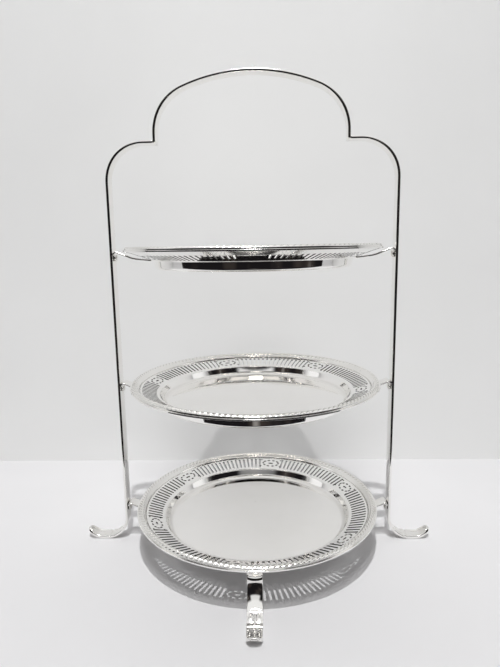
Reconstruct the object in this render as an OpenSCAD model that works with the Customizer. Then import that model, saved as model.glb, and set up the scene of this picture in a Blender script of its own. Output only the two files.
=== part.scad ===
// Three-tier folding cake stand: a flat-strap frame that carries three pierced
// plates on riveted ears, with a front and a rear foot under the lowest plate.
// +X is the stand's right, -Y its front and +Z up. The origin is on the table,
// under the middle of the plates. Millimetres.

/* [Frame] */
// Width across the outer faces of the uprights
frame_w = 242; // [240:1:250]
// Height from the soles to the top of the arch
stand_h = 406; // [400:1:430]
// Width of the strap, front to back
strap_w = 12; // [11:0.5:13]
// Thickness of the frame strap
strap_t = 2; // [1.8:0.1:2.2]
// Outer radius of the shoulders
shoulder_r = 32; // [28:1:34]
// Height of the top face of the shoulders
shoulder_z = 352.5; // [348:0.5:354]
// Half width of the arch, to its outer face
arch_half_w = 80.5; // [78:0.5:82]
// Outer radius of the arch's two haunches
haunch_r = 40; // [34:1:44]
// Height where the arch's legs end and its haunches begin
haunch_z = 358; // [356:1:362]

/* [Feet] */
// Radius of the side feet where they leave the upright, to the lower face
side_foot_r = 20.5; // [18:0.5:22]
// Radius of the side feet's turned-up toes, to the lower face
side_toe_r = 15.5; // [14:0.5:17]
// Radius of the front and rear feet's toes, to the lower face
end_toe_r = 13; // [12:0.5:15]
// Length of the flat that each foot stands on
sole_l = 5; // [4.5:0.5:7]
// How far the toes turn up, in degrees
toe_turn = 62; // [50:1:66]

/* [Plates] */
// Outer radius of a plate
plate_r = 108; // [106:0.5:109]
// Thickness of the plate metal
sheet_t = 1.2; // [1:0.1:1.4]
// Height of the lowest plate's lip
bottom_lip_z = 34.6; // [34:0.1:36]
// Height of the middle plate's lip
middle_lip_z = 148.5; // [146:0.5:150]
// Height of the top plate's lip
top_lip_z = 263.5; // [261:0.5:266]
// Drop of the sloping rim from the lip to the shoulder of the well
rim_drop = 7; // [6.5:0.1:7.2]
// Depth of the well, from the lip to the underside of the floor
well_drop = 14.9; // [14:0.1:15.5]
// Height of the border above the underside of the lip
border_h = 3.8; // [3:0.1:4.2]

/* [Piercing] */
// Number of pierced rosettes around a rim
rosettes = 6; // [5:1:6]
// Slots between two rosettes
slots = 18; // [16:1:18]
// Width of a slot
slot_w = 1.8; // [1.2:0.1:1.9]
// Radius where the slots begin
slot_in_r = 86; // [85.8:0.1:87]
// Radius where the slots end
slot_out_r = 98.4; // [96:0.1:98.6]

/* [Pivots] */
// Thickness of the arms
arm_t = 1.8; // [1.6:0.1:2]
// Depth of the pivots below the lip
pivot_drop = 5; // [4.6:0.1:5.4]
// Radius of the rivets
rivet_r = 1.2; // [1:0.1:1.3]
// Radial play of the rivets in the uprights
rivet_play = 0.05; // [0.03:0.01:0.08]
// Gap between an ear and its upright
ear_gap = 0.2; // [0.15:0.05:0.3]

/* [Hidden] */
$fn = 128;

SILVER = [0.86, 0.86, 0.85];
PLATE_SILVER = [0.91, 0.91, 0.90];
BORDER_SILVER = [0.80, 0.80, 0.79];
RIVET_SILVER = [0.70, 0.70, 0.70];

half_w = frame_w / 2;
inner_x = half_w - strap_t;
lip_z = [bottom_lip_z, middle_lip_z, top_lip_z];
BOTTOM = 0;
MIDDLE = 1;
TOP = 2;

// Direction of the first rosette on each plate, as the plates happen to be set
rosette_a = [21.5, 49.5, 31];

// Arch: the haunches and the crown share a tangent
haunch_x = arch_half_w - haunch_r;
crown_rise = stand_h - haunch_z;
crown_r = (haunch_x * haunch_x + crown_rise * crown_rise - haunch_r * haunch_r)
          / (2 * (crown_rise - haunch_r));
crown_z = stand_h - crown_r;
crown_a = atan2(haunch_z - crown_z, haunch_x);
crown_steps = 24;
haunch_steps = 24;

// Plate section
lip_w = 1;
rim_w = 22;
well_r = plate_r - lip_w - rim_w;
rim_slope = rim_drop / rim_w;
floor_r = well_r - 7;
border_w = 7.4;
border_in_r = plate_r - lip_w - border_w;

// Arms: an ear, a slope down, a nearly level seat and a turned-up tip.
// Heights are those of the middle line, measured from the lip
arm_turn = 112;
ear_bend_r = 1.6;
ear_end_r = 3.6;
ear_top = -2;
ear_foot = -pivot_drop - ear_end_r;
ear_x = inner_x - ear_gap - arm_t / 2;
seat_x = 101.5;
seat_slope = 6;
tip_x = 88;
tip_turn = 52;
tip_r = 2.4;
arm_bend_x = ear_x - ear_bend_r;
slope_x = arm_bend_x + ear_bend_r * cos(arm_turn);
slope_z = ear_top + ear_bend_r * sin(arm_turn);
slope_a = arm_turn - 90;
slope_l = (slope_x - seat_x) / cos(slope_a);
seat_z = slope_z - slope_l * sin(slope_a);
seat_l = (seat_x - tip_x) / cos(seat_slope);
tip_z = seat_z - seat_l * sin(seat_slope);

// Rivets
head_r = 2.4;
head_t = 0.8;
head_gap = 0.15;
head_face_r = head_r * 0.6;

// Front and rear feet: a level seat at the height of the arms' tips, a quick
// bend down and a long sweep to the table
end_seat_x = 95;
end_seat_z = bottom_lip_z + tip_z;
end_bend_r = 4;
end_bend_a = 85;
end_foot_r = (end_seat_z - arm_t / 2 * cos(end_bend_a)) / (1 - cos(end_bend_a)) - end_bend_r;
sweep_x = end_seat_x + (end_bend_r + end_foot_r - arm_t / 2) * sin(end_bend_a);

// Points along an arc, both ends included
function arc_points(centre, r, from_a, to_a, steps) =
    [for (i = [0:steps])
        let (a = from_a + (to_a - from_a) * i / steps)
        centre + r * [cos(a), sin(a)]];

// One face of the tip that turns up under the well's shoulder, up to where a
// seat of the given slope starts
function tip_face(seat_start, slope, above) =
    arc_points(seat_start + tip_r * [-sin(slope), cos(slope)], tip_r - above,
               -90 - tip_turn + slope, -90 + slope, 6);

// Height of a rim's upper face at radius r, above the underside of its lip
function rim_top(r) = sheet_t - rim_slope * (plate_r - lip_w - r);

// ---- strap work, drawn in the X-Z plane and centred on Y ----

// Turns a strap laid out in X-Y so that it stands in X-Z
module stand_up() {
    rotate([90, 0, 0]) children();
}

// Straight strap along +X, its middle line starting at the origin
module strap_line(len, t) {
    translate([0, -t / 2, -strap_w / 2]) cube([len, t, strap_w]);
}

// Curved strap about the origin, between two directions in degrees
module strap_arc(mid_r, from_a, to_a, t) {
    rotate([0, 0, from_a])
        rotate_extrude(angle = to_a - from_a)
            translate([mid_r - t / 2, -strap_w / 2])
                square([t, strap_w]);
}

// Toe: the flat sole and the turned-up end, from where the sweep meets the table
module toe(toe_r, t) {
    translate([0, t / 2, 0]) strap_line(sole_l, t);
    translate([sole_l, toe_r, 0]) strap_arc(toe_r - t / 2, -90, -90 + toe_turn, t);
}

// Strap between an upper and a lower face, each a list of points from end to end
module bent_strap(upper, lower) {
    last = len(lower) - 1;
    stand_up() translate([0, 0, -strap_w / 2]) linear_extrude(strap_w)
        polygon(concat(upper, [for (i = [0:last]) lower[last - i]]));
}

// Right-hand frame strap: toe, foot, upright, shoulder and the ledge to the arch
module frame_strap() {
    foot_x = half_w + side_foot_r - strap_t;
    shoulder_x = half_w - shoulder_r;
    shoulder_base = shoulder_z - shoulder_r;
    upright_h = shoulder_base - side_foot_r;
    difference() {
        stand_up() union() {
            translate([foot_x, 0, 0]) toe(side_toe_r, strap_t);
            translate([foot_x, side_foot_r, 0])
                strap_arc(side_foot_r - strap_t / 2, 180, 270, strap_t);
            translate([half_w - strap_t / 2, side_foot_r, 0])
                rotate([0, 0, 90]) strap_line(upright_h, strap_t);
            translate([shoulder_x, shoulder_base, 0])
                strap_arc(shoulder_r - strap_t / 2, 0, 90, strap_t);
            translate([arch_half_w, shoulder_z - strap_t / 2, 0])
                strap_line(shoulder_x - arch_half_w, strap_t);
        }
        for (z = lip_z)
            translate([half_w + 1, 0, z - pivot_drop])
                rotate([0, -90, 0]) cylinder(r = rivet_r + rivet_play, h = strap_t + 2);
    }
}

module left_strap() {
    color(SILVER) mirror([1, 0, 0]) frame_strap();
}

module right_strap() {
    color(SILVER) frame_strap();
}

// One face of the three-centred arch, at a distance inside its outer face, from
// the foot of the right leg over to the foot of the left one
function arch_face(inside) =
    let (leg_base = shoulder_z - strap_t,
         step = (180 - 2 * crown_a) / crown_steps)
    concat(
        [[arch_half_w - inside, leg_base]],
        arc_points([haunch_x, haunch_z], haunch_r - inside, 0, crown_a, haunch_steps),
        arc_points([0, crown_z], crown_r - inside, crown_a + step,
                   180 - crown_a - step, crown_steps - 2),
        arc_points([-haunch_x, haunch_z], haunch_r - inside, 180 - crown_a, 180,
                   haunch_steps),
        [[inside - arch_half_w, leg_base]]);

module handle_arch() {
    color(SILVER) bent_strap(arch_face(0), arch_face(strap_t));
}

// ---- plates ----

// Small hole with flat sides, stretched along the rim
module pierced_dot(along, across) {
    square([across, along], center = true);
}

// One rosette, centred on the middle of the pierced band along +X
module rosette() {
    band_r = (slot_in_r + slot_out_r) / 2;
    centre_l = 5.2;
    centre_w = 1.6;
    ring_l = 8.2;
    ring_w = 4.2;
    ring_holes = 10;
    hole_l = 2.4;
    hole_w = 1.5;
    corner_l = 10.4;
    corner_w = 4.6;
    translate([band_r, 0]) {
        pierced_dot(centre_l, centre_w);
        for (i = [0:ring_holes - 1]) {
            a = (i + 0.5) * 360 / ring_holes;
            translate([ring_w * cos(a), ring_l * sin(a)])
                rotate([0, 0, atan2(ring_l * cos(a), -ring_w * sin(a)) - 90])
                    pierced_dot(hole_l, hole_w);
        }
        for (u = [-1, 1], v = [-1, 1])
            translate([u * corner_w, v * corner_l]) pierced_dot(hole_w, hole_w);
    }
}

// The pattern of the whole pierced band
module piercing() {
    rosette_gap = 7.4;
    pitch = (360 / rosettes - 2 * rosette_gap) / (slots - 1);
    for (i = [0:rosettes - 1]) rotate([0, 0, i * 360 / rosettes]) {
        rosette();
        for (j = [0:slots - 1])
            rotate([0, 0, rosette_gap + j * pitch])
                translate([slot_in_r, -slot_w / 2])
                    square([slot_out_r - slot_in_r, slot_w]);
    }
}

// Section of a plate, with heights measured from the underside of the lip. The
// bends at the foot and the head of the wall are each drawn as short chamfers
module plate_section() {
    foot = [floor_r, -well_drop];
    head = [well_r, -rim_drop];
    foot_under = [[2, 0.9], [3.6, 3]];
    foot_over = [[2.4, 3.5], [1.2, 2.1], [-0.6, sheet_t]];
    head_under = [-1.4, -0.8];
    head_over = [[0, sheet_t], [-1.6, 0.7], [-2.6, -0.4]];
    polygon(concat(
        [[0, foot.y], foot],
        [for (step = foot_under) foot + step],
        [head + head_under, head],
        [[plate_r - lip_w, 0], [plate_r, 0]],
        [[plate_r, sheet_t], [plate_r - lip_w, sheet_t]],
        [for (step = head_over) head + step],
        [for (step = foot_over) foot + step],
        [[0, foot.y + sheet_t]]));
}

module plate(tier) {
    color(PLATE_SILVER) translate([0, 0, lip_z[tier]]) difference() {
        rotate_extrude($fn = 180) plate_section();
        translate([0, 0, -rim_drop - 1]) rotate([0, 0, rosette_a[tier]])
            linear_extrude(rim_drop + 2 * sheet_t) piercing();
    }
}

// Moulded wire soldered on the rim, just inside the lip. Its back is given as
// steps in from the outer edge and down from the crest
module border(tier) {
    out_r = plate_r - lip_w;
    back = [[0, 1.4], [1.4, 0.2], [2.9, 0], [4.6, 0.8]];
    inner_step = [0.9, 1.6];
    inner = [border_in_r, rim_top(border_in_r)];
    color(BORDER_SILVER) translate([0, 0, lip_z[tier]])
        rotate_extrude($fn = 180) polygon(concat(
            [inner, [out_r, sheet_t]],
            [for (step = back) [out_r, border_h] - step],
            [inner + inner_step]));
}

module top_plate() plate(TOP);
module middle_plate() plate(MIDDLE);
module bottom_plate() plate(BOTTOM);
module top_border() border(TOP);
module middle_border() border(MIDDLE);
module bottom_border() border(BOTTOM);

// ---- arms ----

// What is cut off and out of the end of an arm to leave the ear, seen along X:
// across, then up
module ear_trim() {
    trim_z = ear_top - 1.4;
    tangent_a = 20;
    flank_x = ear_end_r * cos(tangent_a);
    flank_z = -pivot_drop - ear_end_r * sin(tangent_a);
    margin = 1;
    difference() {
        translate([-strap_w / 2 - margin, ear_foot - margin])
            square([strap_w + 2 * margin, trim_z - ear_foot + margin]);
        translate([0, -pivot_drop]) circle(r = ear_end_r);
        polygon([
            [-strap_w / 2 - margin, trim_z + margin],
            [-strap_w / 2, trim_z],
            [-flank_x, flank_z],
            [flank_x, flank_z],
            [strap_w / 2, trim_z],
            [strap_w / 2 + margin, trim_z + margin]
        ]);
    }
    translate([0, -pivot_drop]) circle(r = rivet_r);
}

// One face of an arm, at a distance above its middle line
function arm_face(above) = concat(
    tip_face([tip_x, tip_z], seat_slope, above),
    [[seat_x, seat_z] + above / cos((slope_a - seat_slope) / 2)
        * [-sin((slope_a + seat_slope) / 2), cos((slope_a + seat_slope) / 2)]],
    arc_points([arm_bend_x, ear_top], ear_bend_r + above, arm_turn, 0, 16),
    [[ear_x + above, ear_foot]]);

// Right-hand arm, with heights measured from the lip
module arm() {
    cut_t = 2 * arm_t;
    difference() {
        bent_strap(arm_face(arm_t / 2), arm_face(-arm_t / 2));
        translate([ear_x + cut_t / 2, 0, 0]) rotate([0, -90, 0]) rotate([0, 0, -90])
            linear_extrude(cut_t) ear_trim();
    }
}

module right_arm(tier) {
    color(SILVER) translate([0, 0, lip_z[tier]]) arm();
}

module left_arm(tier) {
    color(SILVER) translate([0, 0, lip_z[tier]]) mirror([1, 0, 0]) arm();
}

module top_left_arm() left_arm(TOP);
module top_right_arm() right_arm(TOP);
module middle_left_arm() left_arm(MIDDLE);
module middle_right_arm() right_arm(MIDDLE);
module bottom_left_arm() left_arm(BOTTOM);
module bottom_right_arm() right_arm(BOTTOM);

// ---- rivets ----

// One rivet along X: a shank through ear and upright with a head at each end
module rivet() {
    inner_face = inner_x - ear_gap - arm_t;
    translate([inner_face, 0, 0]) rotate([0, 90, 0])
        cylinder(r = rivet_r, h = half_w - inner_face + head_gap);
    translate([half_w + head_gap, 0, 0]) rotate([0, 90, 0])
        cylinder(r1 = head_r, r2 = head_face_r, h = head_t, $fn = 48);
    translate([inner_face - head_t, 0, 0]) rotate([0, 90, 0])
        cylinder(r1 = head_face_r, r2 = head_r, h = head_t, $fn = 48);
}

module rivets(tier) {
    color(RIVET_SILVER) translate([0, 0, lip_z[tier] - pivot_drop])
        for (side = [0, 1]) mirror([side, 0, 0]) rivet();
}

module top_rivets() rivets(TOP);
module middle_rivets() rivets(MIDDLE);
module bottom_rivets() rivets(BOTTOM);

// ---- front and rear feet, drawn as if pointing along +X ----

// One face of a foot, at a distance above its middle line
function end_foot_face(above) = concat(
    tip_face([tip_x, end_seat_z], 0, above),
    arc_points([end_seat_x, end_seat_z - end_bend_r], end_bend_r + above,
               90, 90 - end_bend_a, 10),
    arc_points([sweep_x, end_foot_r], end_foot_r - arm_t / 2 - above,
               270 - end_bend_a, 270, 24),
    arc_points([sweep_x + sole_l, end_toe_r], end_toe_r - arm_t / 2 - above,
               -90, -90 + toe_turn, 16));

module end_foot() {
    bent_strap(end_foot_face(arm_t / 2), end_foot_face(-arm_t / 2));
}

module front_foot() {
    color(SILVER) rotate([0, 0, -90]) end_foot();
}

module rear_foot() {
    color(SILVER) rotate([0, 0, 90]) end_foot();
}

left_strap();
right_strap();
handle_arch();
top_plate();
top_border();
top_left_arm();
top_right_arm();
top_rivets();
middle_plate();
middle_border();
middle_left_arm();
middle_right_arm();
middle_rivets();
bottom_plate();
bottom_border();
bottom_left_arm();
bottom_right_arm();
bottom_rivets();
front_foot();
rear_foot();
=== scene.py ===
"""Looks for the three-tier folding cake stand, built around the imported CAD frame.

Lengths in this file are millimetres until a mesh is made. Places come from the
CAD nodes' boxes. Every CAD node is replaced by a finer mesh of the same piece.
"""

import math

import bmesh
import bpy
import numpy as np
from mathutils import Matrix, Vector
from mathutils.geometry import delaunay_2d_cdt

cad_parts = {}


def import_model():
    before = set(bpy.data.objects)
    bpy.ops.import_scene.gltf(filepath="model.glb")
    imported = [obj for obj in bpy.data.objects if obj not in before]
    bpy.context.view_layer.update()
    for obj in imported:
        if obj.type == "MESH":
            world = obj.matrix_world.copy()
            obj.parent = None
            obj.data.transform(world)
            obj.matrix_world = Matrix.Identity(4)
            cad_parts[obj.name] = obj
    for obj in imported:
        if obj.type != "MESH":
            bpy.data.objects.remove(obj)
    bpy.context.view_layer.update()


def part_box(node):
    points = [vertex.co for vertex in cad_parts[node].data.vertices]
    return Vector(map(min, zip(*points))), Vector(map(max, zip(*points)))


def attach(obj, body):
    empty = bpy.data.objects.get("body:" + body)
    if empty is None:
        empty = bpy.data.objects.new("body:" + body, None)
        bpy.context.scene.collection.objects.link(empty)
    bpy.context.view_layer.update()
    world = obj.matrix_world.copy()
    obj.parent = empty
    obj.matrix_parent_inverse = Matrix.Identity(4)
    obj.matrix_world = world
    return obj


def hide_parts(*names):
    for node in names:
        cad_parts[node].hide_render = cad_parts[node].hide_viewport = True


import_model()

MM = 0.001
TAU = 2 * math.pi
TIERS = ("top", "middle", "bottom")
SIDES = (("left", -1), ("right", 1))


def box_mm(node):
    """Lowest and highest corner of a CAD node, in millimetres."""
    lo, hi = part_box(node)
    return np.array(lo) / MM, np.array(hi) / MM


# ---------------------------------------------------------------- dimensions
STRAP_W = 12.0
STRAP_T = 2.0
ARM_T = 1.8
SHEET_T = 1.2
SOLE_L = 5.0
TOE_TURN = 62.0
BELLY_END = 57.0         # where the rounded front of an end foot stops, from its toe
SIDE_FOOT_R = 20.5
SIDE_TOE_R = 15.5
END_TOE_R = 13.0
SHOULDER_R = 32.0
HAUNCH_R = 40.0
RIM_W = 22.0
RIM_DROP = 7.0
WELL_DROP = 14.9
PIVOT_DROP = 5.0
HEAD_OUT = 0.95          # how far a rivet stands out of the upright
HEAD_T = 0.8
HEAD_R = 2.4
HEAD_GAP = 0.15          # between the outer head's base and the upright
EAR_GAP = 0.2            # between an upright and the arm pivoted inside it
RIVET_R = 1.2
RIVET_SIDES = 28
CROWN = 0.10             # how much thinner a strap is at its edges, on each face
TOE_REACH = 11.0         # length of a toe's rounded end
FRAME_THICKEN = 0.4      # added to the free side of the uprights and the arch
SOLDER_R, SOLDER_HALF_L, SOLDER_DROP = 0.75, 5.4, 6.95
ARCH_SOLDER_R, ARCH_SOLDER_HALF_L = 0.55, 5.2

PLATE_R = box_mm("top_plate")[1][0]
LIP = {t: box_mm(t + "_plate")[1][2] - SHEET_T for t in TIERS}
BORDER_H = box_mm("top_border")[1][2] - LIP["top"]
BORDER_R = box_mm("top_border")[1][0]
HALF_W = box_mm("top_rivets")[1][0] - HEAD_OUT
ARCH_HALF_W = box_mm("handle_arch")[1][0]
ARCH_BASE = box_mm("handle_arch")[0][2]
STAND_H = box_mm("handle_arch")[1][2]
SHOULDER_Z = box_mm("right_strap")[1][2]
HAUNCH_Z = SHOULDER_Z + 5.5
BORDER_IN = BORDER_R - 7.4
WELL_R = BORDER_R - RIM_W
WELL_EDGE = WELL_R + 0.6  # where the cove turns into the pierced rim
FLOOR_R = WELL_R - 7.0
RIM_SLOPE = RIM_DROP / RIM_W
TIP_DROP = 7.67          # middle line of an arm's tip, below the lip
TIP_X = 88.0
TIP_TURN = 52.0
TIP_BEND_R = 2.4
ROSETTE_A = {"bottom": 21.5, "middle": 49.5, "top": 31.0}


# ---------------------------------------------------------------- 2D outlines
def arc(centre, radius, start, end, step=4.0):
    """Points along an arc, angles in degrees, both ends included."""
    count = max(2, int(math.ceil(abs(end - start) / step)) + 1)
    a = np.radians(np.linspace(start, end, count))
    return np.stack([centre[0] + radius * np.cos(a), centre[1] + radius * np.sin(a)], 1)


def joined(*parts):
    """Stretches of a line end to end, without doubled points."""
    out = [np.asarray(parts[0][0], float)]
    for part in parts:
        for p in part:
            if np.hypot(*(np.asarray(p) - out[-1])) > 1e-6:
                out.append(np.asarray(p, float))
    return np.array(out)


def filleted(points, radii, step=10.0):
    """An open line with its corners rounded, and the normal to the right of travel at each point."""
    pts = [np.array(p, float) for p in points]
    out, normals = [], []
    for i, p in enumerate(pts):
        into = pts[i] - pts[i - 1] if i else pts[1] - pts[0]
        away = pts[i + 1] - pts[i] if i + 1 < len(pts) else into
        a, b = into / np.hypot(*into), away / np.hypot(*away)
        turn = math.atan2(a[0] * b[1] - a[1] * b[0], a @ b)
        if i in (0, len(pts) - 1) or abs(turn) < 1e-6:
            out.append(p)
            normals.append([a[1], -a[0]])
            continue
        side = math.copysign(1, turn)
        start = p - a * radii[i] * math.tan(abs(turn) / 2)
        centre = start + side * radii[i] * np.array([-a[1], a[0]])
        count = max(2, int(math.ceil(math.degrees(abs(turn)) / step)))
        for k in range(count + 1):
            t = turn * k / count
            d = np.array([a[0] * math.cos(t) - a[1] * math.sin(t),
                          a[0] * math.sin(t) + a[1] * math.cos(t)])
            out.append(centre + side * radii[i] * np.array([d[1], -d[0]]))
            normals.append([d[1], -d[0]])
    return np.array(out), np.array(normals)


def line_normals(path):
    """Normals to the right of travel along a smooth open line."""
    d = np.gradient(path, axis=0)
    d /= np.hypot(d[:, 0], d[:, 1])[:, None]
    return np.stack([d[:, 1], -d[:, 0]], 1)


def resampled(path, step):
    """The same line with points no further apart than step."""
    out = [path[0]]
    for a, b in zip(path[:-1], path[1:]):
        count = max(1, int(math.ceil(np.hypot(*(b - a)) / step)))
        out.extend(a + (b - a) * k / count for k in range(1, count + 1))
    return np.array(out)


def run_length(path):
    """Distance along a line from its first point."""
    return np.concatenate([[0], np.cumsum(np.hypot(*np.diff(path, axis=0).T))])


# ---------------------------------------------------------------- meshes
def finish_mesh(name, verts_mm, faces, material, body, nodes, normals=None, wear=None, mend=True,
                second=None):
    """Makes a piece from millimetre vertices, with its material, body and the CAD nodes it stands for.
    second is another material and, for each face, whether it wears it."""
    mesh = bpy.data.meshes.new(name)
    mesh.from_pydata((np.asarray(verts_mm) * MM).tolist(), [], faces)
    if mend:
        bm = bmesh.new()
        bm.from_mesh(mesh)
        bmesh.ops.recalc_face_normals(bm, faces=bm.faces)
        bm.to_mesh(mesh)
        bm.free()
    mesh.polygons.foreach_set("use_smooth", [True] * len(mesh.polygons))
    if wear is not None:
        layer = mesh.attributes.new("wear", "FLOAT", "POINT")
        layer.data.foreach_set("value", np.asarray(wear, np.float32))
    mesh.update()
    if normals is not None:
        mesh.normals_split_custom_set(normals)
    mesh.materials.append(material)
    if second:
        mesh.materials.append(second[0])
        mesh.polygons.foreach_set("material_index", [int(w) for w in second[1]])
    obj = bpy.data.objects.new(name, mesh)
    bpy.context.scene.collection.objects.link(obj)
    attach(obj, body)
    if nodes:
        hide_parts(*nodes)
    return obj


class Builder:
    """Collects vertices, faces and corner normals, and welds what coincides."""

    def __init__(self):
        self.verts, self.faces, self.normals, self.cut = [], [], [], []

    def add(self, verts, faces, normals, cut=False):
        base = len(self.verts)
        self.cut.extend([cut] * len(faces))
        self.verts.extend(verts)
        self.faces.extend([[base + i for i in f] for f in faces])
        self.normals.extend(normals)

    def welded(self):
        keys, index, kept = {}, [], []
        for v in self.verts:
            key = tuple(int(round(c * 1e4)) for c in v)
            if key not in keys:
                keys[key] = len(kept)
                kept.append(v)
            index.append(keys[key])
        faces, normals, cut = [], [], []
        for f, ns, is_cut in zip(self.faces, self.normals, self.cut):
            ring, ring_n = [], []
            for i, n in zip(f, ns):
                j = index[i]
                if j not in ring:
                    ring.append(j)
                    ring_n.append(n)
            if len(ring) > 2:
                faces.append(ring)
                normals.extend(ring_n)
                cut.append(is_cut)
        return np.array(kept), faces, normals, cut


def lathe_strip(builder, profile, normals, angles):
    """Turns an open profile of radius and height about Z, with exact normals. The solid is to its left."""
    n, m = len(angles), len(profile)
    c, s = np.cos(angles), np.sin(angles)
    verts = np.stack([np.outer(c, profile[:, 0]), np.outer(s, profile[:, 0]),
                      np.tile(profile[:, 1], (n, 1))], 2)
    nors = np.stack([np.outer(c, normals[:, 0]), np.outer(s, normals[:, 0]),
                     np.tile(normals[:, 1], (n, 1))], 2)
    faces, corner = [], []
    for i in range(n):
        k = (i + 1) % n
        for j in range(m - 1):
            faces.append([i * m + j, k * m + j, k * m + j + 1, i * m + j + 1])
            corner.append([nors[i, j], nors[k, j], nors[k, j + 1], nors[i, j + 1]])
    builder.add([tuple(v) for v in verts.reshape(-1, 3)], faces, corner)


def tube_faces(rings, size, closed=False):
    """Faces between neighbouring rings of vertices, capped at both ends unless the rings close."""
    faces = []
    for i in range(rings if closed else rings - 1):
        k = (i + 1) % rings
        for j in range(size):
            n = (j + 1) % size
            faces.append([i * size + j, i * size + n, k * size + n, k * size + j])
    if not closed:
        faces.append(list(range(size))[::-1])
        faces.append([(rings - 1) * size + j for j in range(size)])
    return faces


def strap_section(half_w, half_t, edge_w, across):
    """Cross-section of a strap, across and through it, with rounded edges and crowned broad faces."""
    edge_w = min(edge_w, half_w * 0.98)
    flat = half_w - edge_w
    loop = []
    for side in (1, -1):                      # upper face, then the lower one
        for u in np.linspace(-flat, flat, across + 1) * side:
            loop.append((u, side * half_t))
        for k in range(1, 8):
            a = math.radians(22.5 * k)
            loop.append((side * (flat + edge_w * math.sin(a)), side * half_t * math.cos(a)))
    loop = np.array(loop)
    fall = CROWN * (loop[:, 0] / max(half_w, 1e-6)) ** 2
    loop[:, 1] -= np.sign(loop[:, 1]) * np.minimum(fall, np.abs(loop[:, 1]) * 0.9)
    return loop


def strap(name, path, half_w, half_t, body, nodes, mirror=1, spin=0.0, relief=None,
          round_start=True, round_end=True, lift=0.0, edge_w=0.3, thicken=0.0):
    """Sweeps a strap along a line in the X-Z plane. half_w and half_t may change along it.
    relief(s, u) is metal added to the face on the right of travel. thicken adds to that face, or
    when negative to the other. spin turns the result about Z."""
    s = run_length(path)
    normals = line_normals(path)
    half_w = np.broadcast_to(half_w, len(path)).astype(float)
    half_t = np.broadcast_to(half_t, len(path)).astype(float)
    for wanted, distance in ((round_start, s), (round_end, s[-1] - s)):
        if wanted:
            near = np.clip(distance / 0.9, 0, 1)
            half_t *= np.sqrt(np.clip(1 - (1 - near) ** 2, 0.03, 1))
    across = 26 if relief else 8
    verts, wear = [], []
    for p, n, hw, ht, at in zip(path, normals, half_w, half_t, s):
        loop = strap_section(hw, ht, edge_w, across)
        extra = np.zeros(len(loop))
        if relief is not None:
            upper = np.clip(loop[:, 1] / ht, 0, 1)
            extra = relief(at, loop[:, 0]) * upper
        for (u, t), e in zip(loop, extra):
            outward = abs(thicken) * np.clip(math.copysign(1, thicken) * t / ht, 0, 1)
            q = p + n * (t + e + math.copysign(outward, thicken))
            verts.append((q[0], u, q[1] + lift))
            wear.append(0.5 if relief is None else float(np.clip(0.5 - e, 0, 1)))
    verts = np.array(verts)
    verts[:, 0] *= mirror
    c, s = math.cos(math.radians(spin)), math.sin(math.radians(spin))
    verts = np.stack([verts[:, 0] * c - verts[:, 1] * s, verts[:, 0] * s + verts[:, 1] * c, verts[:, 2]], 1)
    return finish_mesh(name, verts, tube_faces(len(path), len(loop)), FRAME_SILVER, body,
                       nodes, wear=wear)


# ---------------------------------------------------------------- materials
class Shading:
    """Short forms of the nodes that the materials and the room are made of."""

    def __init__(self, tree):
        self.nodes, self.links = tree.nodes, tree.links

    def put(self, value, socket):
        """Sets a socket to a number or colour, or links an output to it."""
        if isinstance(value, (int, float, tuple)):
            socket.default_value = value
        else:
            self.links.new(value, socket)

    def maths(self, kind, a, b=0.0):
        m = self.nodes.new("ShaderNodeMath")
        m.operation = kind
        self.put(a, m.inputs[0])
        self.put(b, m.inputs[1])
        return m.outputs["Value"]

    def ranged(self, value, low, high, to_low=0.0, to_high=1.0, smooth=False):
        """Maps low and high onto to_low and to_high, along a straight line or a smooth step."""
        m = self.nodes.new("ShaderNodeMapRange")
        m.interpolation_type = "SMOOTHSTEP" if smooth else "LINEAR"
        for name, number in (("From Min", low), ("From Max", high), ("To Min", to_low), ("To Max", to_high)):
            m.inputs[name].default_value = number
        self.links.new(value, m.inputs["Value"])
        return m.outputs["Result"]

    def mixed(self, factor, a, b):
        """Colour a where factor is 0, colour b where it is 1."""
        m = self.nodes.new("ShaderNodeMix")
        m.data_type = "RGBA"
        for name, value in (("Factor_Float", factor), ("A_Color", a), ("B_Color", b)):
            self.put(value, next(i for i in m.inputs if i.identifier == name))
        return next(o for o in m.outputs if o.identifier == "Result_Color")

    def bump(self, height, strength, depth_mm, under=None):
        """The normal of a surface raised by height, on top of the one given as under."""
        b = self.nodes.new("ShaderNodeBump")
        b.inputs["Strength"].default_value = strength
        b.inputs["Distance"].default_value = depth_mm * MM
        self.links.new(height, b.inputs["Height"])
        if under is not None:
            self.links.new(under, b.inputs["Normal"])
        return b.outputs["Normal"]


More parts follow.
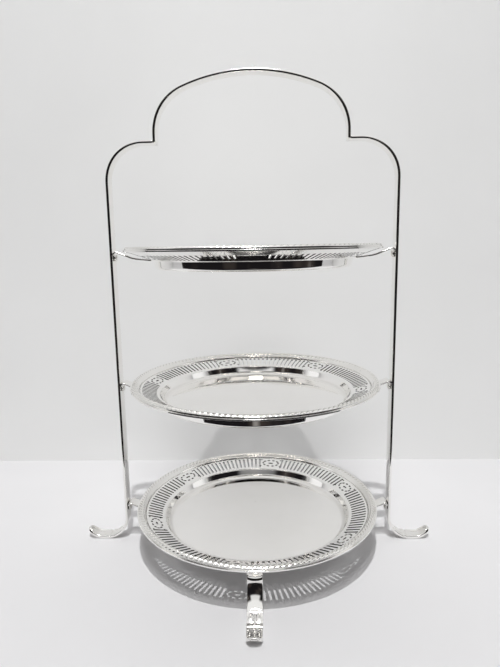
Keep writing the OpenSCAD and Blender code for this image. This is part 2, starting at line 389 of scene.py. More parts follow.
def silver(name, tint, dull, rough, wave, tarnish):
    """Polished silver plate: a slightly uneven surface, fine polishing scratches, small dark specks
    and a warm film in the recesses that the attribute wear marks."""
    mat = bpy.data.materials.new(name)
    mat.use_nodes = True
    sh = Shading(mat.node_tree)
    nodes, links = sh.nodes, sh.links
    shader = nodes["Principled BSDF"]
    shader.inputs["Metallic"].default_value = 1.0
    coords = nodes.new("ShaderNodeTexCoord")

    def noise(scale, detail, stretch=None):
        n = nodes.new("ShaderNodeTexNoise")
        n.inputs["Scale"].default_value = scale
        n.inputs["Detail"].default_value = detail
        if stretch:
            m = nodes.new("ShaderNodeMapping")
            m.inputs["Scale"].default_value = stretch
            links.new(coords.outputs["Object"], m.inputs["Vector"])
            links.new(m.outputs["Vector"], n.inputs["Vector"])
        else:
            links.new(coords.outputs["Object"], n.inputs["Vector"])
        return n.outputs["Fac"]

    clouds = noise(22, 4)
    polish = sh.ranged(noise(1400, 3, (1, 1, 0.25)), 0.3, 0.7)
    wear = nodes.new("ShaderNodeAttribute")
    wear.attribute_name = "wear"

    cells = nodes.new("ShaderNodeTexVoronoi")
    cells.inputs["Scale"].default_value = 70
    links.new(coords.outputs["Object"], cells.inputs["Vector"])
    chosen = nodes.new("ShaderNodeSeparateColor")
    links.new(cells.outputs["Color"], chosen.inputs["Color"])
    speck = sh.maths("MULTIPLY", sh.maths("LESS_THAN", cells.outputs["Distance"], 0.035),
                     sh.maths("GREATER_THAN", chosen.outputs["Red"], 0.8))

    film = sh.maths("MULTIPLY", sh.ranged(wear.outputs["Fac"], 0.55, 1.0, 0, tarnish),
                    sh.ranged(noise(160, 3), 0.25, 0.6, 0.5, 1))
    base = sh.mixed(sh.ranged(clouds, 0.35, 0.7), tint, dull)
    base = sh.mixed(film, base, (0.30, 0.25, 0.17, 1))
    base = sh.mixed(sh.maths("MULTIPLY", speck, 0.7), base, (0.12, 0.10, 0.08, 1))
    links.new(base, shader.inputs["Base Color"])

    roughness = sh.maths("ADD", sh.ranged(noise(45, 5), 0.3, 0.75, rough * 0.6, rough * 1.6),
                         sh.maths("MULTIPLY", polish, 0.02))
    roughness = sh.maths("ADD", roughness, sh.maths("MULTIPLY", film, 0.35))
    links.new(roughness, shader.inputs["Roughness"])

    uneven = sh.bump(noise(38, 1), 1.0, wave)
    links.new(sh.bump(polish, 0.5, 0.0012, under=uneven), shader.inputs["Normal"])
    return mat


FRAME_SILVER = silver("frame_silver_plate", (0.95, 0.94, 0.92, 1), (0.88, 0.87, 0.84, 1),
                      rough=0.05, wave=0.03, tarnish=0.25)
PLATE_SILVER = silver("plate_silver_plate", (0.985, 0.975, 0.96, 1), (0.955, 0.945, 0.925, 1),
                      rough=0.045, wave=0.05, tarnish=0.3)
BORDER_SILVER = silver("border_silver_plate", (0.95, 0.94, 0.92, 1), (0.88, 0.87, 0.84, 1),
                       rough=0.07, wave=0.02, tarnish=0.8)
# Walls of the holes: nearly black. This is partly the bare sawn edge of the sheet and partly painted shade
# for the dark inside of each slot.
SAWN_EDGE_PAINTED_SHADE = silver("sawn_edge_painted_shade", (0.07, 0.062, 0.052, 1), (0.03, 0.027, 0.023, 1),
                    rough=0.32, wave=0.02, tarnish=0.0)
RIVET_SILVER = silver("rivet_silver_plate", (0.90, 0.89, 0.86, 1), (0.80, 0.78, 0.74, 1),
                      rough=0.09, wave=0.02, tarnish=0.6)


# ---------------------------------------------------------------- frame straps and arch
def toe_width(s):
    """Half width near a rounded toe end, by distance from the end."""
    near = np.clip(np.asarray(s) / TOE_REACH, 0, 1)
    return STRAP_W / 2 * np.sqrt(np.clip(1 - (1 - near) ** 2.4 * 0.95, 0, 1))


def toe_relief(scale=1.0, belly=0.0):
    """Cast ornament on a toe, by distance from its end: a cup with a raised rim round a bead, cross
    ridges, a pair of leaves with a spine between them and a last cross ridge. belly rounds the front
    of the leg above it."""
    cup_end, bead_at, leaf_at, belly_start = 16.8, 12.2, 27.6, 33.5
    ridge_shapes = ((17.6, 1.0, 0.5), (21.2, 0.9, 0.45), (33.2, 0.8, 0.45))    # place, width, height

    def bell(x, centre, width):
        return np.exp(-((x - centre) / width) ** 2)

    def height(s, u):
        at = s / scale
        edge = toe_width(s) - np.abs(u)
        in_cup = np.clip((cup_end - at) / 2, 0, 1)
        rim = 0.6 * bell(edge, 0.9, 0.8) * in_cup
        hollow = -0.35 * np.clip((edge - 1.4) / 1.4, 0, 1) * in_cup
        bead = 0.95 * bell(at, bead_at, 2.8) * bell(u, 0, 2.4)
        ridges = sum(high * bell(at, place, wide) for place, wide, high in ridge_shapes)
        grooves = -0.35 * bell(at, 19.5, 0.6) - 0.4 * bell(at, 23.6, 0.8) * (1 - bell(u, 0, 1.2))
        leaves = 0.75 * bell(at, leaf_at, 2.8) * bell(np.abs(u), 3.2, 1.5)
        spine = 0.45 * bell(at, leaf_at, 4.5) * bell(u, 0, 0.7)
        rounding = belly * (1 - (u / (STRAP_W / 2)) ** 2) * np.clip((at - belly_start) / 3, 0, 1) ** 0.5
        below_end = np.clip((BELLY_END - at) / 2.5, 0, 1) ** 0.5
        return rim + hollow + bead + ridges + grooves + leaves + spine + rounding * below_end
    return height


def side_strap(side, sign):
    """One upright with its foot and shoulder, from the toe's end to where it meets the arch."""
    half_t = STRAP_T / 2
    foot_x = HALF_W + SIDE_FOOT_R - STRAP_T
    toe_c = (foot_x + SOLE_L, SIDE_TOE_R)
    foot_c = (foot_x, SIDE_FOOT_R)
    shoulder_c = (HALF_W - SHOULDER_R, SHOULDER_Z - SHOULDER_R)
    path = joined(
        arc(toe_c, SIDE_TOE_R - half_t, TOE_TURN - 90, -90, 3),
        arc(foot_c, SIDE_FOOT_R - half_t, 270, 180, 3),
        arc(shoulder_c, SHOULDER_R - half_t, 0, 90, 3),
        [(ARCH_HALF_W, SHOULDER_Z - half_t)])
    path = resampled(path, 0.8)
    return strap(side + "_frame_strap", path, toe_width(run_length(path)), half_t, "frame",
                 [side + "_strap"], mirror=sign, relief=toe_relief(SIDE_TOE_R / END_TOE_R),
                 round_end=False, thicken=FRAME_THICKEN)


for side, sign in SIDES:
    side_strap(side, sign)


def arch_strap():
    """The carrying arch: two haunches joined by one shallow arc, with straight ends."""
    half_t = STRAP_T / 2
    haunch_x = ARCH_HALF_W - HAUNCH_R
    rise = STAND_H - HAUNCH_Z
    crown_r = (haunch_x ** 2 + rise ** 2 - HAUNCH_R ** 2) / (2 * (rise - HAUNCH_R))
    crown_z = STAND_H - crown_r
    crown_a = math.degrees(math.atan2(HAUNCH_Z - crown_z, haunch_x))
    leg_x = ARCH_HALF_W - half_t
    path = joined(
        [(leg_x, ARCH_BASE)],
        arc((haunch_x, HAUNCH_Z), HAUNCH_R - half_t, 0, crown_a, 3),
        arc((0, crown_z), crown_r - half_t, crown_a, 180 - crown_a, 1.5),
        arc((-haunch_x, HAUNCH_Z), HAUNCH_R - half_t, 180 - crown_a, 180, 3),
        [(-leg_x, ARCH_BASE)])
    return strap("handle_arch_strap", resampled(path, 3.0), STRAP_W / 2, half_t, "frame",
                 ["handle_arch"], round_start=False, round_end=False, thicken=-FRAME_THICKEN)


arch_strap()


# ---------------------------------------------------------------- plates
BAND_IN, BAND_OUT = WELL_EDGE, 99.0
SLOT_IN, SLOT_OUT, SLOT_W = 86.0, 98.4, 1.8
ROSETTES, SLOTS, ROSETTE_GAP = 6, 18, 7.4
PLATE_STEPS = 540         # steps round a plate


def rim_top(r):
    """Height of the sloping rim's upper face above the lip, by radius."""
    return SHEET_T - RIM_SLOPE * (BORDER_R - r)


def rim_under(r):
    return -RIM_SLOPE * (BORDER_R - r)


def placed(outline, x, y, turn=0.0):
    c, s = math.cos(turn), math.sin(turn)
    return np.stack([x + outline[:, 0] * c - outline[:, 1] * s,
                     y + outline[:, 0] * s + outline[:, 1] * c], 1)


def slot_outline():
    """A radial slot along +X with rounded corners."""
    half, corner = SLOT_W / 2, 0.6
    points = []
    for cx, cy, start in ((SLOT_OUT - corner, half - corner, 90), (SLOT_IN + corner, half - corner, 180),
                          (SLOT_IN + corner, corner - half, 270), (SLOT_OUT - corner, corner - half, 0)):
        for k in range(4):
            a = math.radians(start - 90 + k * 30)
            points.append((cx + corner * math.cos(a), cy + corner * math.sin(a)))
    ring = np.array(points)
    dense = []
    for a, b in zip(ring, np.roll(ring, -1, axis=0)):
        count = max(1, int(np.hypot(*(b - a)) / 3.0))
        dense.extend(a + (b - a) * k / count for k in range(count))
    return np.array(dense)


def petal(length, width, count=14):
    """A hole stretched along Y, with softly pointed ends."""
    a = np.linspace(0, TAU, count, endpoint=False)
    return np.stack([width / 2 * np.sign(np.cos(a)) * np.abs(np.cos(a)) ** 1.1,
                     length / 2 * np.sign(np.sin(a)) * np.abs(np.sin(a)) ** 0.9], 1)


def piercing():
    """Every hole of the pierced band, as outlines seen from above."""
    holes = []
    band_r = (SLOT_IN + SLOT_OUT) / 2
    ring_l, ring_w, ring_holes = 8.2, 4.2, 10
    pitch = (360 / ROSETTES - 2 * ROSETTE_GAP) / (SLOTS - 1)
    slot = slot_outline()
    for i in range(ROSETTES):
        turn = math.radians(i * 360 / ROSETTES)
        group = [placed(petal(5.2, 1.7), band_r, 0)]
        for k in range(ring_holes):
            a = (k + 0.5) * TAU / ring_holes
            lean = math.atan2(ring_l * math.cos(a), -ring_w * math.sin(a)) - math.pi / 2
            group.append(placed(petal(3.0, 1.6), band_r + ring_w * math.cos(a), ring_l * math.sin(a), lean))
        for u in (-1, 1):
            for v in (-1, 1):
                group.append(placed(petal(1.6, 1.6, 10), band_r + u * 4.6, v * 10.4))
        holes += [placed(h, 0, 0, turn) for h in group]
        for j in range(SLOTS):
            holes.append(placed(slot, 0, 0, turn + math.radians(ROSETTE_GAP + j * pitch)))
    return holes


def pierced_band(builder, angles):
    """The sheet between two circles with every hole cut through it, cone above and below."""
    rings = [np.stack([r * np.cos(angles), r * np.sin(angles)], 1) for r in (BAND_IN, BAND_OUT)]
    holes = piercing()
    points, edges, faces = [], [], []
    for ring in rings:
        base = len(points)
        points.extend(ring)
        edges += [(base + k, base + (k + 1) % len(ring)) for k in range(len(ring))]
    for hole in holes:
        base = len(points)
        points.extend(hole)
        faces.append([base + k for k in range(len(hole))])
    exact = [tuple(p) for p in points]
    out, _, tris, origin, _, tri_origin = delaunay_2d_cdt([Vector(p) for p in exact], edges, faces, 0, 1e-6)
    flat = np.array([exact[o[0]] if o else tuple(v) for v, o in zip(out, origin)])
    kept = []
    for tri, inside in zip(tris, tri_origin):
        middle = flat[list(tri)].mean(0)
        if not inside and BAND_IN * math.cos(math.pi / len(angles)) - 1e-3 < np.hypot(*middle):
            kept.append(list(tri))
    radius = np.hypot(flat[:, 0], flat[:, 1])
    slope = math.hypot(1, RIM_SLOPE)
    radial = flat / radius[:, None]
    up = np.column_stack([-radial * RIM_SLOPE, np.ones(len(flat))]) / slope
    top = np.column_stack([flat, rim_top(radius)])
    under = np.column_stack([flat, rim_under(radius)])
    builder.add([tuple(v) for v in top], kept, [[up[i] for i in t] for t in kept])
    turned = [t[::-1] for t in kept]
    builder.add([tuple(v) for v in under], turned, [[-up[i] for i in t] for t in turned])
    for hole in holes:
        n = len(hole)
        r = np.hypot(hole[:, 0], hole[:, 1])
        walls = np.vstack([np.column_stack([hole, rim_top(r)]), np.column_stack([hole, rim_under(r)])])
        spokes = hole - hole.mean(0)
        area = sum(a[0] * b[1] - a[1] * b[0] for a, b in zip(spokes, np.roll(spokes, -1, axis=0)))
        ring_faces, corner = [], []
        for k in range(n):
            j = (k + 1) % n
            face = [k, j, n + j, n + k]
            d = hole[j] - hole[k]
            inward = np.array([-d[1], d[0], 0.0]) * math.copysign(1, area)
            inward /= np.linalg.norm(inward)
            if area < 0:
                face = face[::-1]
            ring_faces.append(face)
            corner.append([inward] * 4)
        builder.add([tuple(v) for v in walls], ring_faces, corner, cut=True)


def plate_mesh():
    """One plate with its lip at height 0: floor, cove, pierced rim and rolled lip."""
    builder = Builder()
    angles = np.arange(PLATE_STEPS) * TAU / PLATE_STEPS
    floor_top = SHEET_T - WELL_DROP
    under, under_n = filleted(
        [(0, -WELL_DROP), (WELL_R - 2.3, -WELL_DROP), (WELL_R - 1.3, -RIM_DROP - 0.4),
         (BAND_IN, rim_under(BAND_IN))],
        [0, 3.0, 0.8, 0])
    lip, lip_n = filleted(
        [(BAND_OUT, rim_under(BAND_OUT)), (BORDER_R, 0), (PLATE_R, 0), (PLATE_R, SHEET_T),
         (BORDER_R, SHEET_T), (BAND_OUT, rim_top(BAND_OUT))],
        [0, 1.5, 0.2, 0.2, 1.0, 0])
    over, over_n = filleted(
        [(BAND_IN, rim_top(BAND_IN)), (WELL_R - 1.8, -RIM_DROP + 0.75), (WELL_R - 4.4, floor_top + 1.5),
         (FLOOR_R - 0.6, floor_top), (FLOOR_R - 2.6, floor_top), (FLOOR_R - 3.2, floor_top - 0.12),
         (0, floor_top - 0.12)],
        [0, 1.9, 3.2, 2.2, 1.2, 1.2, 0])
    lathe_strip(builder, under, under_n, angles)
    lathe_strip(builder, lip, lip_n, angles)
    lathe_strip(builder, over, over_n, angles)
    pierced_band(builder, angles)
    return builder.welded()


def add_plates():
    """The three plates, each turned by its own angle, with tarnish in the cove and along the border."""
    verts, faces, normals, cut = plate_mesh()
    normals = np.array(normals)
    for tier in TIERS:
        a = math.radians(ROSETTE_A[tier])
        turn = np.array([[math.cos(a), -math.sin(a), 0], [math.sin(a), math.cos(a), 0], [0, 0, 1]])
        moved = verts @ turn.T + [0, 0, LIP[tier]]
        r = np.hypot(verts[:, 0], verts[:, 1])
        in_cove = np.exp(-((r - FLOOR_R - 1.0) / 1.5) ** 2)
        by_border = np.exp(-((r - BORDER_IN) / 0.5) ** 2)
        wear = 0.5 + 0.35 * in_cove + 0.3 * by_border
        # The hole walls wear the second material, which is nearly black: partly the sawn edge, partly
        # painted shade inside the slots.
        finish_mesh(tier + "_pierced_plate", moved, faces, PLATE_SILVER, tier + "_tier",
                    [tier + "_plate"], normals=(normals @ turn.T).tolist(), wear=wear, mend=False,
                    second=(SAWN_EDGE_PAINTED_SHADE, cut))


add_plates()


# ---------------------------------------------------------------- borders
LOBES = 148
LOBE_STEPS = 10
LOBE_DEPTH = 0.52        # how deep the furrow between two lobes is, as a share of the roll


def add_borders():
    """Gadrooned wire on each rim: a plain cavetto inside, slanting lobes over the roll, a plain
    fillet outside."""
    count = LOBES * LOBE_STEPS
    theta = np.arange(count) * TAU / count
    sink = 0.02
    foot_z = rim_top(BORDER_IN)
    cavetto = ((0, -sink), (0.25, 0.8), (0.65, 1.6), (1.2, 2.3), (1.8, 2.8), (2.4, 3.15))
    fillet = ((0.22, 1.45), (0.05, 1.25), (0.03, 1.0), (0.03, 0.2), (0.03, -sink))
    profile = [(BORDER_IN + out, foot_z + up) for out, up in cavetto]
    plain_in = len(profile)
    roll_c = np.array([BORDER_IN + 4.8, SHEET_T + 0.6])
    roll_w, roll_h = 2.35, BORDER_H - SHEET_T - 0.6
    for a in np.radians(np.linspace(152, 18, 15)):
        profile.append(tuple(roll_c + [roll_w * math.cos(a), roll_h * math.sin(a)]))
    roll_end = len(profile)
    profile += [(BORDER_R - back, SHEET_T + up) for back, up in fillet]
    base = np.array(profile)
    m = len(base)
    share = np.zeros(m)
    share[plain_in:roll_end] = np.sin(np.radians(np.linspace(8, 172, roll_end - plain_in))) ** 0.6
    lean = np.zeros(m)
    lean[plain_in:roll_end] = np.linspace(-0.75, 0.75, roll_end - plain_in)
    phase = (theta[:, None] * LOBES / TAU + lean[None, :]) % 1.0
    lobe = np.sqrt(np.clip(1 - (2 * phase - 1) ** 2, 0, 1))
    shrink = 1 - LOBE_DEPTH * share[None, :] * (1 - lobe) ** 1.3
    shrink = np.where(share[None, :] > 0, shrink, 1)
    r = roll_c[0] + (base[None, :, 0] - roll_c[0]) * shrink
    z = roll_c[1] + (base[None, :, 1] - roll_c[1]) * shrink
    wear = 0.5 + 0.5 * share[None, :] * (1 - lobe) ** 1.6
    verts = np.stack([r * np.cos(theta)[:, None], r * np.sin(theta)[:, None], z], 2).reshape(-1, 3)
    faces = tube_faces(count, m, closed=True)
    for tier in TIERS:
        finish_mesh(tier + "_gadroon_border", verts + [0, 0, LIP[tier]], faces,
                    BORDER_SILVER, tier + "_tier", [tier + "_border"], wear=wear.reshape(-1))


add_borders()


# ---------------------------------------------------------------- arms, rivets and solder
def tip_arc(x, z, slope):
    """The arm's end that turns up under the well, from its tip back to where the seat starts."""
    lean = math.radians(slope)
    centre = (x - TIP_BEND_R * math.sin(lean), z + TIP_BEND_R * math.cos(lean))
    return arc(centre, TIP_BEND_R, -90 - TIP_TURN + slope, -90 + slope, 8)


def add_arm(tier, side, sign):
    """One arm, from its turned-up tip under the well to the ear that hangs on the rivet."""
    ear_x = HALF_W - STRAP_T - EAR_GAP - ARM_T / 2
    bend_r, bend_turn = 1.6, 112.0
    ear_top, ear_end_r = -2.0, 3.6
    neck_end, neck_l = 0.9, 1.7    # above the pivot: where the ear starts to widen, and over what length
    slope_start = (ear_x - bend_r + bend_r * math.cos(math.radians(bend_turn)),
                   ear_top + bend_r * math.sin(math.radians(bend_turn)))
    seat_slope, knee_x = 6.0, 101.5
    knee_z = slope_start[1] - (slope_start[0] - knee_x) * math.tan(math.radians(bend_turn - 90))
    tip_z = knee_z - (knee_x - TIP_X) * math.tan(math.radians(seat_slope))
    body, _ = filleted([(TIP_X, tip_z), (knee_x, knee_z), slope_start], [0, 26, 0], 1.5)
    path = joined(
        tip_arc(TIP_X, tip_z, seat_slope), body,
        arc((ear_x - bend_r, ear_top), bend_r, bend_turn, 0, 12),
        [(ear_x, -PIVOT_DROP), (ear_x, -PIVOT_DROP - ear_end_r * 0.985)])
    path = resampled(path, 0.8)
    in_ear = np.abs(path[:, 0] - ear_x) < 0.02
    below = -path[:, 1] - PIVOT_DROP
    half_w = np.full(len(path), STRAP_W / 2)
    for i, (ear, d) in enumerate(zip(in_ear, below)):
        if ear and d >= -neck_end:
            half_w[i] = ear_end_r if d < 0 else math.sqrt(max(ear_end_r ** 2 - d ** 2, 0.3))
        if ear and -neck_end - neck_l < d < -neck_end:
            half_w[i] = ear_end_r + (STRAP_W / 2 - ear_end_r) * ((-d - neck_end) / neck_l) ** 1.2
    strap(tier + "_" + side + "_arm_strap", path, half_w, ARM_T / 2, tier + "_tier",
          [tier + "_" + side + "_arm"], mirror=sign, lift=LIP[tier], round_end=False, edge_w=0.7)


def turned_dome(z, sign, base_x, top_x, radius, rings=6):
    """A domed rivet head along X, from its flat base to its crown."""
    verts = []
    for k in range(rings):
        a = math.pi / 2 * k / rings
        x, r = base_x + (top_x - base_x) * math.sin(a), radius * math.cos(a) ** 0.8
        for j in range(RIVET_SIDES):
            t = TAU * j / RIVET_SIDES
            verts.append((sign * x, r * math.cos(t), z + r * math.sin(t)))
    verts.append((sign * top_x, 0, z))
    verts.append((sign * base_x, 0, z))
    last, crown, foot = (rings - 1) * RIVET_SIDES, rings * RIVET_SIDES, rings * RIVET_SIDES + 1
    faces = tube_faces(rings, RIVET_SIDES)[:-2]      # without the two flat caps
    for j in range(RIVET_SIDES):
        n = (j + 1) % RIVET_SIDES
        faces.append([last + j, last + n, crown])
        faces.append([n, j, foot])
    return verts, faces


def turned_shank(z, sign, start_x, end_x):
    """A rivet's straight shank along X."""
    turns = [TAU * j / RIVET_SIDES for j in range(RIVET_SIDES)]
    verts = [(sign * x, RIVET_R * math.cos(t), z + RIVET_R * math.sin(t))
             for x in (start_x, end_x) for t in turns]
    return verts, tube_faces(2, RIVET_SIDES)


def add_rivets(tier):
    """A tier's two rivets: a head outside the upright, one inside the arm and a shank through both."""
    z = LIP[tier] - PIVOT_DROP
    outer, inner = HALF_W + HEAD_GAP, HALF_W - STRAP_T - EAR_GAP - ARM_T
    verts, faces = [], []
    for _, sign in SIDES:
        for v, f in (turned_dome(z, sign, outer, HALF_W + HEAD_OUT, HEAD_R),
                     turned_dome(z, sign, inner, inner - HEAD_T, HEAD_R),
                     turned_shank(z, sign, inner, outer)):
            start = len(verts)
            verts += v
            faces += [[start + i for i in face] for face in f]
    finish_mesh(tier + "_rivet_pair", verts, faces, RIVET_SILVER, tier + "_tier",
                [tier + "_rivets"])


def solder_bead(name, start, end, radius, body, seed):
    """A lumpy fillet of solder along a joint, between two points."""
    rng = np.random.default_rng(seed)
    a, b = np.array(start, float), np.array(end, float)
    along = (b - a) / np.linalg.norm(b - a)
    side = np.cross(along, [0, 0, 1.0])
    side /= np.linalg.norm(side)
    up = np.cross(side, along)
    count, ring, squash = 24, 14, 0.6
    swell = 1 + 0.12 * rng.standard_normal(count)
    verts = []
    for i in range(count):
        t = i / (count - 1)
        r = radius * swell[i] * max(0.12, math.sqrt(max(0, 1 - (2 * t - 1) ** 6)))
        for j in range(ring):
            q = TAU * j / ring
            verts.append(a + (b - a) * t + side * r * math.cos(q) + up * r * squash * math.sin(q))
    return finish_mesh(name, verts, tube_faces(count, ring), FRAME_SILVER, body, [],
                       wear=np.full(len(verts), 0.72))


for tier in TIERS:
    for side, sign in SIDES:
        add_arm(tier, side, sign)
        x, z = sign * WELL_EDGE, LIP[tier] - SOLDER_DROP
        solder_bead(tier + "_" + side + "_arm_solder", (x, -SOLDER_HALF_L, z), (x, SOLDER_HALF_L, z),
                    SOLDER_R, tier + "_tier", seed=TIERS.index(tier) * 2 + (sign > 0))
    add_rivets(tier)


# ---------------------------------------------------------------- front and rear feet
def add_end_foot(which, spin):
    """A foot under the bottom plate, swept in to its seat on the well. spin turns it front or rear."""
    reach = -box_mm("front_foot")[0][1]
    toe_x = reach - END_TOE_R * math.sin(math.radians(TOE_TURN))
    sweep_x = toe_x - SOLE_L
    half_t = ARM_T / 2
    seat_z = LIP["bottom"] - TIP_DROP
    seat_x, bend_r = 95.0, 4.0
    drop, run = seat_z - half_t, sweep_x - seat_x
    bend_a = math.degrees(2 * math.atan2(drop, run))
    sweep_r = run / math.sin(math.radians(bend_a)) - bend_r
    path = joined(
        arc((toe_x, END_TOE_R), END_TOE_R - half_t, TOE_TURN - 90, -90, 2.5),
        arc((sweep_x, half_t + sweep_r), sweep_r, 270, 270 - bend_a, 2.5),
        arc((seat_x, seat_z - bend_r), bend_r, 90 - bend_a, 90, 6),
        tip_arc(TIP_X, seat_z, 0)[::-1])
    path = resampled(path, 0.7)
    strap(which + "_foot_strap", path, toe_width(run_length(path)), half_t, "bottom_tier",
          [which + "_foot"], relief=toe_relief(belly=0.9), spin=spin)


add_end_foot("front", -90)
add_end_foot("rear", 90)
for which, sign in (("front", -1), ("rear", 1)):
    y, z = sign * WELL_EDGE, LIP["bottom"] - SOLDER_DROP
    solder_bead(which + "_foot_solder", (-SOLDER_HALF_L, y, z), (SOLDER_HALF_L, y, z), SOLDER_R,
                "bottom_tier", seed=7 + (sign > 0))
for side, sign in SIDES:
    x, z = sign * (ARCH_HALF_W + 0.15), SHOULDER_Z + 0.1
    solder_bead(side + "_arch_solder", (x, -ARCH_SOLDER_HALF_L, z), (x, ARCH_SOLDER_HALF_L, z),
                ARCH_SOLDER_R, "frame", seed=11 + (sign > 0))


# ---------------------------------------------------------------- stage
def cloth_material(name, colour, shade, see_through_back=False):
    """Matt pale paper or cloth with faint mottling and grain."""
    mat = bpy.data.materials.new(name)
    mat.use_nodes = True
    sh = Shading(mat.node_tree)
    nodes, links = sh.nodes, sh.links
    shader = nodes["Principled BSDF"]
    shader.inputs["Roughness"].default_value = 0.8
    shader.inputs["Specular IOR Level"].default_value = 0.2
    coords = nodes.new("ShaderNodeTexCoord")
    broad, grain = nodes.new("ShaderNodeTexNoise"), nodes.new("ShaderNodeTexNoise")
    broad.inputs["Scale"].default_value = 6
    grain.inputs["Scale"].default_value = 900
    for n in (broad, grain):
        links.new(coords.outputs["Object"], n.inputs["Vector"])
    ramp = nodes.new("ShaderNodeValToRGB")
    first, last = ramp.color_ramp.elements
    first.position, first.color = 0.3, (*shade, 1)
    last.position, last.color = 0.7, (*colour, 1)
    links.new(broad.outputs["Fac"], ramp.inputs["Fac"])
    links.new(ramp.outputs["Color"], shader.inputs["Base Color"])
    links.new(sh.bump(grain.outputs["Fac"], 0.35, 0.12), shader.inputs["Normal"])
    if see_through_back:
        out = nodes["Material Output"]
        clear, mix = nodes.new("ShaderNodeBsdfTransparent"), nodes.new("ShaderNodeMixShader")
        facing = nodes.new("ShaderNodeNewGeometry")
        links.new(facing.outputs["Backfacing"], mix.inputs["Fac"])
        links.new(shader.outputs["BSDF"], mix.inputs[1])
        links.new(clear.outputs["BSDF"], mix.inputs[2])
        links.new(mix.outputs["Shader"], out.inputs["Surface"])
    return mat


def stage_plane(name, corners, material):
    mesh = bpy.data.meshes.new(name)
    mesh.from_pydata(corners, [], [(0, 1, 2, 3)])
    mesh.materials.append(material)
    obj = bpy.data.objects.new(name, mesh)
    bpy.context.scene.collection.objects.link(obj)
    return obj


# In metres.
STAGE_X = 1.6            # half width of the table and the wall
FLOOR_FRONT, FLOOR_EDGE, FLOOR_BACK = -1.1, -0.17, 1.6
WALL_Y, WALL_H = 0.173, 1.8


def table_corners(front, back):
    return [(-STAGE_X, front, 0), (STAGE_X, front, 0), (STAGE_X, back, 0), (-STAGE_X, back, 0)]


CLOTH = cloth_material("table_cloth", (0.80, 0.795, 0.805), (0.775, 0.77, 0.78))
WALL_PAPER = cloth_material("wall_paper", (0.81, 0.81, 0.805), (0.785, 0.785, 0.78), see_through_back=True)
stage_plane("stage_floor", table_corners(FLOOR_EDGE, FLOOR_BACK), CLOTH)
# The table in front is kept out of the silver, which mirrors the dim side of the room there.
front_table = stage_plane("stage_floor_front", table_corners(FLOOR_FRONT, FLOOR_EDGE), CLOTH)
front_table.visible_glossy = False
wall = stage_plane("stage_wall", [(-STAGE_X, WALL_Y, 0), (STAGE_X, WALL_Y, 0), (STAGE_X, WALL_Y, WALL_H),
                                  (-STAGE_X, WALL_Y, WALL_H)], WALL_PAPER)
wall.visible_shadow = False


# ---------------------------------------------------------------- light
def area_light(name, at, towards, size, power, seen=True):
    data = bpy.data.lights.new(name, "AREA")
    data.shape, data.size, data.energy = "DISK", size, power
    obj = bpy.data.objects.new(name, data)
    bpy.context.scene.collection.objects.link(obj)
    obj.location = at
    obj.rotation_euler = (Vector(at) - Vector(towards)).to_track_quat("Z", "Y").to_euler()
    obj.visible_glossy = seen
    return obj


area_light("overhead_light", at=(0, -0.55, 2.2), towards=(0, 0, 0), size=0.04, power=22.5)
area_light("front_high_light", at=(0, -0.9, 2.0), towards=(0, 0, 0.1), size=0.5, power=10.5)
fill = area_light("wall_fill", at=(0, -1.3, 0.12), towards=(0, 0.18, 0.35), size=0.5, power=6.0, seen=False)
fill.data.use_shadow = False


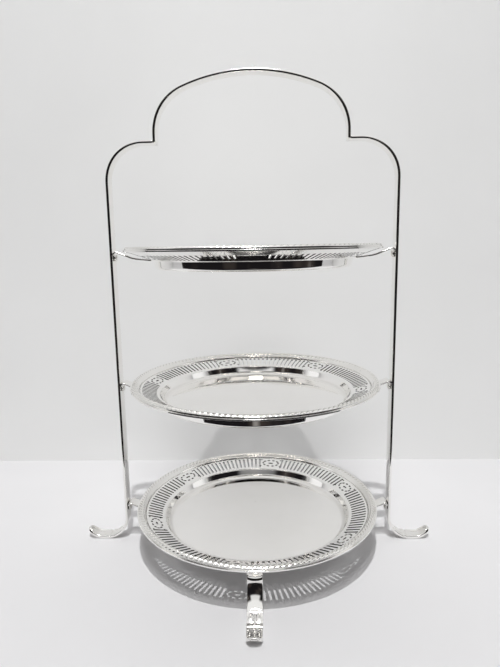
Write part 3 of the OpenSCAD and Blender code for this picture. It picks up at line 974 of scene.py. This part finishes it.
def world():
    """A bright pale room with a dim side behind the camera. The camera itself sees a plain pale
    ground, and what reaches matt surfaces is kept low so that the shadows stay crisp."""
    w = bpy.data.worlds.new("studio_room")
    bpy.context.scene.world = w
    w.use_nodes = True
    sh = Shading(w.node_tree)
    nodes, links = sh.nodes, sh.links
    nodes.clear()
    coords = nodes.new("ShaderNodeTexCoord")
    parts = nodes.new("ShaderNodeSeparateXYZ")
    links.new(coords.outputs["Generated"], parts.inputs["Vector"])

    def both(a, b):
        return sh.maths("MULTIPLY", a, b)

    def above(value, low, high):
        return sh.ranged(value, low, high, smooth=True)

    def without(value):
        return sh.maths("SUBTRACT", 1.0, value)

    x, y, z = (parts.outputs[k] for k in "XYZ")
    level = sh.maths("SQRT", sh.maths("ADD", both(x, x), both(y, y)))
    level = sh.maths("MAXIMUM", level, 0.001)
    facing = sh.maths("DIVIDE", y, level)
    aside = sh.maths("ABSOLUTE", sh.maths("DIVIDE", x, level))
    window = both(without(above(aside, 0.36, 0.50)), above(z, 0.34, 0.46))
    beside = both(above(facing, -0.45, -0.15), above(z, 0.05, 0.18))
    heights = both(above(z, -0.95, -0.85), without(above(z, 0.56, 0.70)))
    dim = both(without(above(facing, 0.34, 0.62)), heights)
    dim = both(dim, without(beside))
    dim = both(dim, without(both(window, 0.85)))

    blobs = nodes.new("ShaderNodeTexNoise")
    blobs.inputs["Scale"].default_value = 2.6
    blobs.inputs["Detail"].default_value = 2
    links.new(coords.outputs["Generated"], blobs.inputs["Vector"])
    ramp = nodes.new("ShaderNodeValToRGB")
    stops = ramp.color_ramp.elements
    stops[0].position, stops[0].color = 0.52, (0.010, 0.009, 0.010, 1)
    stops[1].position, stops[1].color = 0.80, (0.55, 0.53, 0.50, 1)
    stops.new(0.68).color = (0.040, 0.033, 0.030, 1)
    links.new(blobs.outputs["Fac"], ramp.inputs["Fac"])

    path = nodes.new("ShaderNodeLightPath")
    colour = sh.mixed(dim, (0.90, 0.90, 0.90, 1), ramp.outputs["Color"])
    colour = sh.mixed(path.outputs["Is Camera Ray"], colour, (0.74, 0.74, 0.745, 1))
    colour = sh.mixed(path.outputs["Is Diffuse Ray"], colour, (0.02, 0.02, 0.02, 1))
    back = nodes.new("ShaderNodeBackground")
    links.new(colour, back.inputs["Color"])
    out = nodes.new("ShaderNodeOutputWorld")
    links.new(back.outputs["Background"], out.inputs["Surface"])


world()
bpy.context.scene.view_settings.view_transform = "Standard"


# ---------------------------------------------------------------- camera
def camera():
    """The photograph's view: 0.45 m in front of the stand, looking slightly down."""
    place = (0.01074, -0.44951, 0.2675)
    yaw, pitch, roll = 0.0320966, 0.168343, -0.016855
    data = bpy.data.cameras.new("camera")
    data.sensor_width = 36
    data.lens = 28.196
    data.clip_start, data.clip_end = 0.01, 50
    obj = bpy.data.objects.new("camera", data)
    bpy.context.scene.collection.objects.link(obj)
    forward = Vector((-math.sin(yaw) * math.cos(pitch), math.cos(yaw) * math.cos(pitch),
                      -math.sin(pitch)))
    right = Vector((math.cos(yaw), math.sin(yaw), 0))
    up = right.cross(forward)
    across = right * math.cos(roll) + up * math.sin(roll)
    upward = up * math.cos(roll) - right * math.sin(roll)
    turn = Matrix((across, upward, -forward)).transposed().to_4x4()
    obj.matrix_world = Matrix.Translation(place) @ turn
    bpy.context.scene.camera = obj


camera()
